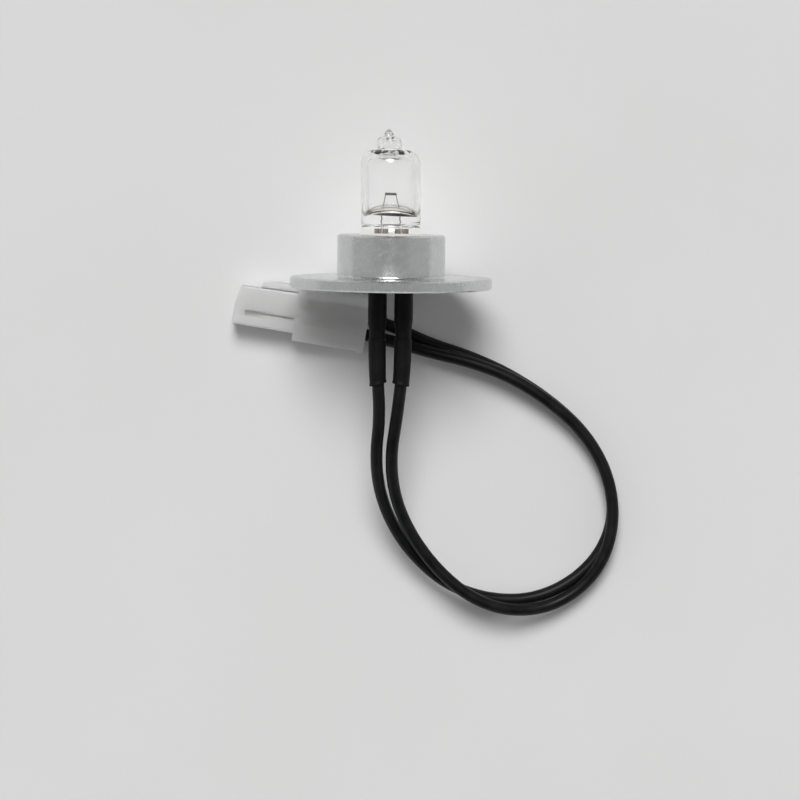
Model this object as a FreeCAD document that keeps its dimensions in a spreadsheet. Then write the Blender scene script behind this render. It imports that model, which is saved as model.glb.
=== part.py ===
import FreeCAD, Part
import math
import os

import Sketcher

# Halogen capsule lamp in a turned flange holder, with two sleeved leads that end in a two-way plug.
# The lamp lies on a table on its flange rim. +Y runs along the lamp from the plug end to the glass tip,
# +Z is up, and the table is at zero height.

# Driving dimensions in millimetres, and angles in degrees.
# Heights along the lamp are counted from the flange face that carries the boss.
SIZES = {
    "flange_diameter": 40.0,
    "flange_thickness": 2.2,
    "flange_edge_break": 0.3,
    "boss_diameter": 21.4,
    "boss_height": 8.4,
    "boss_edge_break": 0.35,
    "boss_corner_radius": 0.4,
    "pocket_diameter": 13.0,
    "pocket_depth": 7.7,
    "pocket_edge_break": 0.3,
    "sleeve_hole_clearance": 0.15,
    "lead_spacing": 5.2,
    "lamp_middle": 4.0,
    "envelope_diameter": 11.74,
    "envelope_wall": 1.4,
    "envelope_base_radius": 1.1,
    "shoulder_radius": 2.9,
    "shoulder_start": 22.3,
    "neck_diameter": 4.74,
    "neck_height": 2.5,
    "neck_corner_radius": 0.25,
    "neck_top_radius": 0.9,
    "tip_diameter": 1.92,
    "tip_land": 0.55,
    "tip_nose_radius": 0.2,
    "tip_reach": 29.3,
    "tip_shift": -0.3,
    "exhaust_bore": 2.9,
    "exhaust_lip_radius": 0.5,
    "exhaust_cap": 0.5,
    "pinch_start": 1.4,
    "pinch_length": 8.5,
    "pinch_width": 11.2,
    "pinch_thickness": 3.0,
    "pinch_corner_radius": 0.4,
    "pinch_web_thickness": 2.4,
    "pinch_rib_width": 0.8,
    "pinch_rib_slope": 0.4,
    "cavity_floor": 12.7,
    "cavity_floor_crown": 0.65,
    "foil_spacing": 4.0,
    "foil_width": 2.75,
    "foil_thickness": 0.12,
    "foil_start": 2.2,
    "foil_top": 9.65,
    "pin_diameter": 0.75,
    "pin_weld_length": 1.8,
    "coil_length": 2.3,
    "coil_diameter": 0.6,
    "coil_height": 16.48,
    "filament_wire": 0.15,
    "leg_bend_height": 13.6,
    "leg_bend_spread": 3.2,
    "leg_waist_height": 12.2,
    "leg_waist_spread": 3.0,
    "leg_foot_spread": 3.9,
    "leg_weld_length": 1.0,
    "cement_rise": 0.25,
    "ferrule_diameter": 2.5,
    "ferrule_length": 6.2,
    "ferrule_start": 3.2,
    "ferrule_waist": 2.1,
    "ferrule_pin_depth": 2.8,
    "fit_clearance": 0.05,
    "upper_sleeve_diameter": 3.7,
    "upper_sleeve_reach": 11.2,
    "lower_sleeve_diameter": 3.2,
    "sleeve_end_gap": 0.2,
    "sleeve_end_round": 0.12,
    "lead_first_run": 8.35,
    "lead_diameter": 2.45,
    "plug_turn": 8.7,
    "plug_front_x": -32.45,
    "plug_front_y": -15.86,
    "plug_length": 27.2,
    "plug_nose_length": 12.5,
    "plug_nose_slant_width": 3.4,
    "plug_nose_slant_depth": 0.75,
    "plug_nose_taper": 0.4,
    "plug_body_width": 11.6,
    "plug_thickness": 7.2,
    "plug_nose_width": 8.2,
    "plug_nose_thickness": 5.6,
    "plug_middle": 5.6,
    "plug_ridge_offset": 3.7,
    "plug_ridge_drop": 1.3,
    "plug_corner_radius": 0.5,
    "plug_nib_length": 1.4,
    "plug_nib_reach": 0.45,
    "plug_pitch": 3.7,
    "plug_mouth": 2.7,
    "plug_mouth_depth": 3.3,
    "plug_bore": 2.6,
    "plug_entry": 3.3,
    "plug_entry_depth": 8.4,
    "plug_groove_width": 1.2,
    "plug_groove_length": 4.0,
    "plug_groove_depth": 0.9,
    "plug_groove_offset": 4.1,
    "plug_groove_start": 2.3,
    "plug_slit_width": 0.4,
    "plug_slit_offset": 4.4,
    "latch_length": 7.7,
    "latch_thickness": 1.2,
    "latch_height": 3.4,
    "latch_gap": 0.2,
    "latch_lean": 0.25,
    "latch_ramp_length": 2.5,
    "latch_ramp_drop": 0.6,
    "terminal_front_gap": 1.3,
    "terminal_length": 20.8,
    "terminal_socket_length": 9.0,
    "terminal_socket_diameter": 2.3,
    "terminal_socket_bore": 1.3,
    "terminal_neck_diameter": 1.3,
    "terminal_neck_length": 1.5,
    "terminal_crimp_diameter": 2.0,
    "terminal_tail_diameter": 2.4,
    "terminal_tail_length": 3.0,
    "terminal_slit_width": 0.3,
    "terminal_slit_length": 5.0,
}

# Turns of the filament's coil
COIL_TURNS = 9

# Share of the shorter run that an arc of a lead takes on each side of its corner
ARC_SHARE = 0.45

# Middle lines of the free leads, from where they leave the lower sleeves to inside the plug.
# The two first points of each lead come from the lamp itself.
LEFT_ROUTE = [
    (-2.4, -31.5, 19.2),
    (-2.9, -40.48, 16.4),
    (-1.59, -48.75, 11.5),
    (1.55, -56.19, 8.0),
    (6.07, -62.2, 6.2),
    (11.93, -67.2, 5.35),
    (19.6, -70.27, 4.75),
    (28.8, -70.64, 3.65),
    (37.13, -67.42, 2.45),
    (43.78, -61.36, 1.55),
    (46.6, -53.2, 1.25),
    (45.0, -44.5, 1.25),
    (40.39, -36.48, 1.45),
    (33.16, -29.84, 1.95),
    (24.66, -24.41, 2.45),
    (15.97, -20.4, 2.65),
    (7.79, -17.72, 2.45),
    (-0.37, -13.83, 3.0),
    (-9.25, -11.67, 3.75),
]
RIGHT_ROUTE = [
    (1.6, -31.5, 19.2),
    (0.3, -40.48, 16.8),
    (1.4, -49.25, 12.3),
    (4.94, -57.18, 9.6),
    (10.24, -64.09, 8.7),
    (16.8, -69.58, 8.3),
    (24.37, -72.46, 7.1),
    (32.88, -72.73, 4.1),
    (40.43, -68.42, 3.5),
    (44.88, -61.16, 4.2),
    (46.4, -52.4, 3.8),
    (44.6, -43.6, 3.8),
    (39.89, -35.98, 4.0),
    (33.16, -29.94, 4.5),
    (25.15, -24.91, 5.0),
    (16.57, -21.0, 5.15),
    (7.79, -18.72, 5.0),
    (-0.82, -16.69, 3.8),
    (-9.84, -15.52, 3.6),
]

doc = FreeCAD.newDocument("HalogenLamp")
sheet = doc.addObject("Spreadsheet::Sheet", "Sizes")


class Size:
    """A length that keeps both its number and the sheet expression that gives it."""

    def __init__(self, value, text):
        self.value = float(value)
        self.text = text

    def __add__(self, other):
        other = as_size(other)
        return Size(self.value + other.value, f"({self.text} + {other.text})")

    def __sub__(self, other):
        other = as_size(other)
        return Size(self.value - other.value, f"({self.text} - {other.text})")

    def __mul__(self, other):
        other = as_size(other)
        return Size(self.value * other.value, f"({self.text} * {other.text})")

    def __truediv__(self, other):
        other = as_size(other)
        return Size(self.value / other.value, f"({self.text} / {other.text})")

    def __neg__(self):
        return Size(-self.value, f"(0 - {self.text})")


def as_size(item):
    if isinstance(item, Size):
        return item
    return Size(item, str(float(item)))


def fill_sheet():
    for row, (alias, value) in enumerate(SIZES.items(), start=1):
        sheet.set(f"A{row}", alias)
        sheet.set(f"B{row}", str(value))
        sheet.setAlias(f"B{row}", alias)
    doc.recompute()


def size(alias):
    return Size(sheet.get(alias), f"Sizes.{alias}")


def bind(item, **lengths):
    for name, length in lengths.items():
        item.setExpression(name.replace("_of_", "."), as_size(length).text)


def new_body(label):
    body = doc.addObject("PartDesign::Body", label)
    body.Label = label
    return body


def new_sketch(body, name, role, offset=None):
    plane = next(item for item in body.Origin.OriginFeatures if item.Role == role)
    sketch = body.newObject("Sketcher::SketchObject", name)
    sketch.AttachmentSupport = [(plane, "")]
    sketch.MapMode = "FlatFace"
    if offset is not None:
        bind(sketch, AttachmentOffset_of_Base_of_z=offset)
    return sketch


def pin_point(sketch, geometry, end, x, y):
    """Hold one end of a piece of geometry at a bound place."""
    for kind, axis, length in (("DistanceX", -2, as_size(x)), ("DistanceY", -1, as_size(y))):
        if length.text == "0.0":
            sketch.addConstraint(Sketcher.Constraint("PointOnObject", geometry, end, axis))
        else:
            index = sketch.addConstraint(Sketcher.Constraint(kind, -1, 1, geometry, end, length.value))
            sketch.setExpression(f"Constraints[{index}]", length.text)


def arc_between(start, end, radius):
    """Arc from start to end, anticlockwise about its centre for a positive radius."""
    chord = end.sub(start)
    normal = FreeCAD.Vector(-chord.y, chord.x, 0).normalize()
    rise = math.sqrt(max(radius ** 2 - (chord.Length / 2) ** 2, 0.0))
    centre = start.add(chord * 0.5).add(normal * math.copysign(rise, radius))
    circle = Part.Circle(centre, FreeCAD.Vector(0, 0, 1), abs(radius))
    angles = [math.atan2(point.y - centre.y, point.x - centre.x) for point in (start, end)]
    if radius < 0:
        angles.reverse()
    return Part.ArcOfCircle(circle, angles[0], angles[1])


def outline(sketch, corners):
    """Closed profile through corners (x, y) or (x, y, radius of the arc to the next corner)."""
    places = [FreeCAD.Vector(as_size(c[0]).value, as_size(c[1]).value, 0) for c in corners]
    first_ends = []
    last_ends = []
    edges = []
    for number, corner in enumerate(corners):
        start = places[number]
        end = places[(number + 1) % len(corners)]
        if len(corner) == 3:
            radius = as_size(corner[2])
            edge = sketch.addGeometry(arc_between(start, end, radius.value))
            index = sketch.addConstraint(Sketcher.Constraint("Radius", edge, abs(radius.value)))
            text = radius.text if radius.value > 0 else (-radius).text
            sketch.setExpression(f"Constraints[{index}]", text)
            forward = radius.value > 0
        else:
            edge = sketch.addGeometry(Part.LineSegment(start, end))
            forward = True
        edges.append(edge)
        first_ends.append(1 if forward else 2)
        last_ends.append(2 if forward else 1)
    for number, corner in enumerate(corners):
        sketch.addConstraint(Sketcher.Constraint(
            "Coincident", edges[number - 1], last_ends[number - 1], edges[number], first_ends[number]))
        pin_point(sketch, edges[number], first_ends[number], corner[0], corner[1])


def rectangle(sketch, left, right, bottom, top):
    outline(sketch, [(left, bottom), (right, bottom), (right, top), (left, top)])


def circle(sketch, x, y, diameter):
    diameter = as_size(diameter)
    middle = FreeCAD.Vector(as_size(x).value, as_size(y).value, 0)
    edge = sketch.addGeometry(Part.Circle(middle, FreeCAD.Vector(0, 0, 1), diameter.value / 2))
    index = sketch.addConstraint(Sketcher.Constraint("Diameter", edge, diameter.value))
    sketch.setExpression(f"Constraints[{index}]", diameter.text)
    pin_point(sketch, edge, 3, x, y)


def pad(body, name, sketch, length, reversed_way=False):
    feature = body.newObject("PartDesign::Pad", name)
    feature.Profile = sketch
    feature.Reversed = reversed_way
    bind(feature, Length=length)
    return feature


def pocket(body, name, sketch, length, reversed_way=False):
    """Cut a sketch into the body, and make sure that it removes material."""
    doc.recompute()
    before = body.Shape.Volume
    feature = body.newObject("PartDesign::Pocket", name)
    feature.Profile = sketch
    feature.Reversed = reversed_way
    bind(feature, Length=length)
    doc.recompute()
    if not body.Shape.Volume < before:
        raise ValueError(f"{body.Label} {name} cuts nothing")
    return feature


def turned(body, name, kind, sketch, axis="V_Axis"):
    """Revolution or Groove of a half section about an axis of its sketch."""
    feature = body.newObject(f"PartDesign::{kind}", name)
    feature.Profile = sketch
    feature.ReferenceAxis = (sketch, [axis])
    feature.Angle = 360
    return feature


def place_on_lamp(item):
    """Turn a piece drawn along Z to lie along the lamp, at the height of the rim's centre."""
    item.Placement = FreeCAD.Placement(FreeCAD.Vector(), FreeCAD.Rotation(FreeCAD.Vector(1, 0, 0), -90))
    bind(
        item,
        Placement_of_Base_of_y=-size("lamp_middle"),
        Placement_of_Base_of_z=size("flange_diameter") / 2)


def lamp_point(x, height):
    """Place of a point of the lamp's middle plane, for shapes made in code."""
    return FreeCAD.Vector(x, height - size("lamp_middle").value, size("flange_diameter").value / 2)


def run_wire(points, share=ARC_SHARE):
    """Straight runs joined by tangent arcs, with the arc radii."""
    edges = []
    radii = []
    start = points[0]
    for before, corner, after in zip(points, points[1:], points[2:]):
        back = before.sub(corner).normalize()
        ahead = after.sub(corner).normalize()
        turn = math.pi - back.getAngle(ahead)
        reach = share * min(before.distanceToPoint(corner), after.distanceToPoint(corner))
        radius = reach / math.tan(turn / 2)
        radii.append(radius)
        first = corner.add(back * reach)
        last = corner.add(ahead * reach)
        inward = back.add(ahead).normalize()
        middle = corner.add(inward * (radius / math.cos(turn / 2) - radius))
        edges.append(Part.LineSegment(start, first).toShape())
        edges.append(Part.Arc(first, middle, last).toShape())
        start = last
    edges.append(Part.LineSegment(start, points[-1]).toShape())
    return edges, radii


def round_bar(edges, diameter):
    """Solid round bar along edges that join smoothly."""
    start = edges[0].valueAt(edges[0].FirstParameter)
    direction = edges[0].tangentAt(edges[0].FirstParameter)
    ring = Part.Wire([Part.Circle(start, direction, diameter / 2).toShape()])
    bar = Part.Wire(edges).makePipeShell([ring], True, False)
    length = sum(edge.Length for edge in edges)
    expected = math.pi * diameter ** 2 / 4 * length
    if abs(bar.Volume / expected - 1) > 0.01:
        raise ValueError("a bar's volume does not match its section times its length")
    return bar


def shaped(label, shape):
    item = doc.addObject("Part::Feature", label)
    item.Label = label
    item.Shape = shape
    return item


def primitive(kind, name, **lengths):
    item = doc.addObject(f"Part::{kind}", name)
    bind(item, **lengths)
    return item


def cut(label, base, tools):
    """Base piece with the room taken out that other pieces fill."""
    tool = tools[0]
    if len(tools) > 1:
        tool = doc.addObject("Part::MultiFuse", f"{label}_room")
        tool.Shapes = tools
    item = doc.addObject("Part::Cut", label)
    item.Label = label
    item.Base = base
    item.Tool = tool
    return item


def side_name(side):
    return "left" if side < 0 else "right"


def make_holder():
    """Turned aluminium flange and boss with the capsule pocket and the two sleeve holes."""
    body = new_body("lamp_holder")
    rim = size("flange_diameter") / 2
    boss = size("boss_diameter") / 2
    bore = size("pocket_diameter") / 2
    thickness = size("flange_thickness")
    rim_break = size("flange_edge_break")
    boss_break = size("boss_edge_break")
    corner = size("boss_corner_radius")
    mouth = size("pocket_edge_break")
    top = size("boss_height")
    floor = top - size("pocket_depth")
    section = new_sketch(body, "HolderSection", "XZ_Plane")
    outline(section, [
        (0, -thickness),
        (rim - rim_break, -thickness),
        (rim, rim_break - thickness),
        (rim, -rim_break),
        (rim - rim_break, 0),
        (boss + corner, 0, -corner),
        (boss, corner),
        (boss, top - boss_break),
        (boss - boss_break, top),
        (bore + mouth, top),
        (bore, top - mouth),
        (bore, floor),
        (0, floor),
    ])
    turned(body, "HolderTurning", "Revolution", section)
    holes = new_sketch(body, "SleeveHoles", "XY_Plane", floor)
    hole = size("upper_sleeve_diameter") + size("sleeve_hole_clearance") * 2
    for side in (-1, 1):
        circle(holes, size("lead_spacing") / 2 * side, 0, hole)
    pocket(body, "SleeveHoleCut", holes, floor + thickness + 1)
    place_on_lamp(body)
    return body


def make_glass_blank():
    """Blown quartz capsule with its ribbed pinch and off-centre exhaust tip, before the seal is embedded."""
    body = new_body("glass_blank")
    outer = size("envelope_diameter") / 2
    base = size("pinch_start") + size("pinch_length")
    base_round = size("envelope_base_radius")
    shoulder = size("shoulder_radius")
    shoulder_start = size("shoulder_start")
    shoulder_top = shoulder_start + shoulder
    section = new_sketch(body, "GlassSection", "XZ_Plane")
    outline(section, [
        (0, base),
        (outer - base_round, base, base_round),
        (outer, base + base_round),
        (outer, shoulder_start, shoulder),
        (outer - shoulder, shoulder_top),
        (0, shoulder_top),
    ])
    turned(body, "GlassTurning", "Revolution", section)

    neck = size("neck_diameter") / 2
    neck_corner = size("neck_corner_radius")
    neck_round = size("neck_top_radius")
    neck_top = shoulder_top + size("neck_height")
    tip = size("tip_diameter") / 2
    tip_nose = size("tip_nose_radius")
    tip_reach = size("tip_reach")
    neck_section = new_sketch(body, "NeckSection", "XZ_Plane")
    bind(neck_section, AttachmentOffset_of_Base_of_x=size("tip_shift"))
    outline(neck_section, [
        (0, shoulder_top - neck_corner),
        (neck + neck_corner, shoulder_top - neck_corner),
        (neck + neck_corner, shoulder_top, -neck_corner),
        (neck, shoulder_top + neck_corner),
        (neck, neck_top - neck_round, neck_round),
        (neck - neck_round, neck_top),
        (tip, neck_top),
        (tip, neck_top + size("tip_land")),
        (tip_nose, tip_reach - tip_nose, tip_nose),
        (0, tip_reach),
    ])
    turned(body, "NeckTurning", "Revolution", neck_section)

    half = size("pinch_width") / 2
    depth = size("pinch_thickness") / 2
    corner = size("pinch_corner_radius")
    web = size("pinch_web_thickness") / 2
    rib = half - size("pinch_rib_width")
    slope = rib - size("pinch_rib_slope")
    pinch_section = new_sketch(body, "PinchSection", "XY_Plane", size("pinch_start"))
    outline(pinch_section, [
        (corner - half, -depth),
        (-rib, -depth),
        (-slope, -web),
        (slope, -web),
        (rib, -depth),
        (half - corner, -depth, corner),
        (half, corner - depth),
        (half, depth - corner, corner),
        (half - corner, depth),
        (rib, depth),
        (slope, web),
        (-slope, web),
        (-rib, depth),
        (corner - half, depth, corner),
        (-half, depth - corner),
        (-half, corner - depth, corner),
    ])
    pad(body, "Pinch", pinch_section, size("pinch_length") + base_round)

    wall = size("envelope_wall")
    inner = outer - wall
    crown = size("cavity_floor_crown")
    floor = size("cavity_floor")
    floor_round = (shoulder - wall) / 2
    floor_half = inner - floor_round
    floor_arc = (floor_half * floor_half + crown * crown) / (crown * 2)
    exhaust = size("exhaust_bore") / 2
    lip = size("exhaust_lip_radius")
    exhaust_top = neck_top - size("exhaust_cap")
    hollow = new_sketch(body, "CavitySection", "XZ_Plane")
    outline(hollow, [
        (0, floor, -floor_arc),
        (floor_half, floor - crown, floor_round),
        (inner, floor - crown + floor_round),
        (inner, shoulder_start, shoulder - wall),
        (outer - shoulder, shoulder_top - wall),
        (exhaust + lip, shoulder_top - wall, -lip),
        (exhaust, shoulder_top - wall + lip),
        (exhaust, exhaust_top - neck_round, neck_round),
        (exhaust - neck_round, exhaust_top),
        (0, exhaust_top),
    ])
    doc.recompute()
    before = body.Shape.Volume
    turned(body, "Cavity", "Groove", hollow)
    doc.recompute()
    if not body.Shape.Volume < before:
        raise ValueError("the capsule's cavity cuts nothing")
    place_on_lamp(body)
    return body


def make_coil():
    """Closely wound coil as one ribbed bar across the lamp, with a round rib for each turn."""
    height = size("coil_height").value
    reach = size("coil_length").value / 2
    crest = size("coil_diameter").value / 2
    root = crest - size("filament_wire").value / 2
    pitch = reach * 2 / COIL_TURNS
    first = lamp_point(-reach, height)
    last = lamp_point(reach, height)
    edges = [Part.makeLine(first, lamp_point(-reach, height + root))]
    for turn in range(COIL_TURNS):
        start = turn * pitch - reach
        edges.append(Part.Arc(
            lamp_point(start, height + root),
            lamp_point(start + pitch / 2, height + crest),
            lamp_point(start + pitch, height + root)).toShape())
    edges.append(Part.makeLine(lamp_point(reach, height + root), last))
    edges.append(Part.makeLine(last, first))
    section = Part.Face(Part.Wire(Part.sortEdges(edges)[0]))
    return section.revolve(first, FreeCAD.Vector(1, 0, 0), 360)


def make_filament():
    """Tungsten coil and its two legs, one wire that ends on the seal foils."""
    height = size("coil_height").value
    reach = size("coil_length").value / 2
    wire = size("filament_wire").value
    foot = size("foil_top").value - size("leg_weld_length").value
    coil = make_coil()
    legs = []
    for side in (-1, 1):
        points = [
            lamp_point(side * size("leg_foot_spread").value / 2, foot),
            lamp_point(side * size("leg_waist_spread").value / 2, size("leg_waist_height").value),
            lamp_point(side * size("leg_bend_spread").value / 2, size("leg_bend_height").value),
            lamp_point(side * (reach - wire), height),
        ]
        edges, radii = run_wire(points, 0.2)
        legs.append(round_bar(edges, wire))
    return shaped("filament", coil.fuse(legs).removeSplitter())


def make_pin(side):
    """Contact pin from its foil in the pinch to the crimp ferrule, with the jog between the two spacings."""
    inner = side * size("foil_spacing").value / 2
    outer = side * size("lead_spacing").value / 2
    face = -size("ferrule_start").value
    pinch = size("pinch_start").value
    points = [
        lamp_point(inner, size("foil_start").value + size("pin_weld_length").value),
        lamp_point(inner, pinch - size("pin_diameter").value),
        lamp_point(outer, face + size("pin_diameter").value),
        lamp_point(outer, face - size("ferrule_pin_depth").value),
    ]
    edges, radii = run_wire(points, 0.3)
    return shaped(f"contact_pin_{side_name(side)}", round_bar(edges, size("pin_diameter").value))


def make_foil(side, pin, filament):
    """Molybdenum foil that carries the current through the pinch, welded to pin and filament leg."""
    name = side_name(side)
    blank = primitive(
        "Box", f"foil_blank_{name}",
        Length=size("foil_width"), Width=size("foil_thickness"), Height=size("foil_top") - size("foil_start"))
    blank.Placement = FreeCAD.Placement(FreeCAD.Vector(), FreeCAD.Rotation(FreeCAD.Vector(1, 0, 0), -90))
    bind(
        blank,
        Placement_of_Base_of_x=size("foil_spacing") / 2 * side - size("foil_width") / 2,
        Placement_of_Base_of_y=size("foil_start") - size("lamp_middle"),
        Placement_of_Base_of_z=size("flange_diameter") / 2 + size("foil_thickness") / 2)
    return cut(f"seal_foil_{name}", blank, [pin, filament])


def make_cement(glass, pins):
    """White ceramic cement that fills the pocket round the pinch."""
    body = new_body("cement_blank")
    bore = size("pocket_diameter") / 2
    top = size("boss_height")
    mouth = size("pocket_edge_break")
    section = new_sketch(body, "CementSection", "XZ_Plane")
    outline(section, [
        (0, top - size("pocket_depth")),
        (bore, top - size("pocket_depth")),
        (bore, top - mouth),
        (bore - mouth, top + size("cement_rise") / 2),
        (bore - mouth * 4, top + size("cement_rise")),
        (0, top + size("cement_rise")),
    ])
    turned(body, "CementTurning", "Revolution", section)
    place_on_lamp(body)
    return cut("ceramic_cement", body, [glass] + pins)


def make_ferrule(side):
    """Brass crimp ferrule between the contact pin and the lead, pressed in at two waists."""
    body = new_body(f"crimp_ferrule_{side_name(side)}")
    outer = size("ferrule_diameter") / 2
    waist = size("ferrule_waist") / 2
    bore = size("pin_diameter") / 2 + size("fit_clearance")
    top = -size("ferrule_start")
    length = size("ferrule_length")
    step = length / 10
    section = new_sketch(body, "FerruleSection", "XZ_Plane")
    outline(section, [
        (0, top - length),
        (outer, top - length),
        (outer, top - length + step),
        (waist, top - length + step * 2),
        (waist, top - length + step * 3),
        (outer, top - length + step * 4),
        (outer, top - step * 4),
        (waist, top - step * 3),
        (waist, top - step * 2),
        (outer, top - step),
        (outer, top),
        (bore, top),
        (bore, top - size("ferrule_pin_depth")),
        (0, top - size("ferrule_pin_depth")),
    ])
    turned(body, "FerruleTurning", "Revolution", section)
    place_on_lamp(body)
    bind(body, Placement_of_Base_of_x=size("lead_spacing") / 2 * side)
    return body


def make_upper_sleeve(side):
    """Thick shrink sleeve from the holder's hole over the ferrule and the start of the lower sleeve."""
    body = new_body(f"upper_sleeve_{side_name(side)}")
    outer = size("upper_sleeve_diameter") / 2
    bore = size("ferrule_diameter") / 2 + size("fit_clearance")
    counterbore = size("lower_sleeve_diameter") / 2 + size("fit_clearance")
    top = size("boss_height") - size("pocket_depth")
    tail = -size("upper_sleeve_reach")
    seat = -size("ferrule_start") - size("ferrule_length") - size("sleeve_end_gap") / 2
    rounding = size("sleeve_end_round")
    section = new_sketch(body, "UpperSleeveSection", "XZ_Plane")
    outline(section, [
        (counterbore, tail),
        (outer - rounding, tail, rounding),
        (outer, tail + rounding),
        (outer, top),
        (bore, top),
        (bore, seat),
        (counterbore, seat),
    ])
    turned(body, "UpperSleeveTurning", "Revolution", section)
    place_on_lamp(body)
    bind(body, Placement_of_Base_of_x=size("lead_spacing") / 2 * side)
    return body


def lead_points(side):
    """Route of one lead, from the face of its ferrule to its end in the plug."""
    face = -size("ferrule_start").value - size("ferrule_length").value
    x = side * size("lead_spacing").value / 2
    route = LEFT_ROUTE if side < 0 else RIGHT_ROUTE
    points = [FreeCAD.Vector(*place) for place in route]
    start = lamp_point(x, face)
    second = start.sub(FreeCAD.Vector(0, size("lead_first_run").value, 0))
    return [start, second] + points


def make_lead(side):
    """Silicone lead, a plain round bar along its route."""
    edges, radii = run_wire(lead_points(side))
    diameter = size("lead_diameter").value
    name = side_name(side)
    total = sum(edge.Length for edge in edges)
    print(f"lead_{name}: length {total:.1f}, radii", [round(radius, 1) for radius in radii])
    return shaped(f"lead_{name}", round_bar(edges, diameter))


def make_lower_sleeve(side):
    """Thin shrink sleeve that follows the first bend of its lead."""
    edges, radii = run_wire(lead_points(side))
    start = edges[0].valueAt(edges[0].FirstParameter + size("sleeve_end_gap").value)
    end = edges[0].valueAt(edges[0].LastParameter)
    path = [Part.LineSegment(start, end).toShape(), edges[1]]
    outer = round_bar(path, size("lower_sleeve_diameter").value)
    bore = round_bar(path, size("lead_diameter").value + size("fit_clearance").value * 2)
    return shaped(f"lower_sleeve_{side_name(side)}", outer.cut(bore))


def place_in_plug(item, offset_x=0, offset_y=0, offset_z=0):
    """Move a piece drawn in the plug's own frame, front face at zero and X to the rear, to its place."""
    turn = math.radians(size("plug_turn").value)
    item.Placement = FreeCAD.Placement(
        FreeCAD.Vector(), FreeCAD.Rotation(FreeCAD.Vector(0, 0, 1), -size("plug_turn").value))
    bind(item, Placement_of_Rotation_of_Angle=-size("plug_turn"))
    across = as_size(offset_y)
    back = as_size(offset_x)
    sine = Size(math.sin(turn), "sin(Sizes.plug_turn * 1deg)")
    cosine = Size(math.cos(turn), "cos(Sizes.plug_turn * 1deg)")
    bind(
        item,
        Placement_of_Base_of_x=size("plug_front_x") + back * cosine + across * sine,
        Placement_of_Base_of_y=size("plug_front_y") - back * sine + across * cosine,
        Placement_of_Base_of_z=offset_z)


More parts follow.
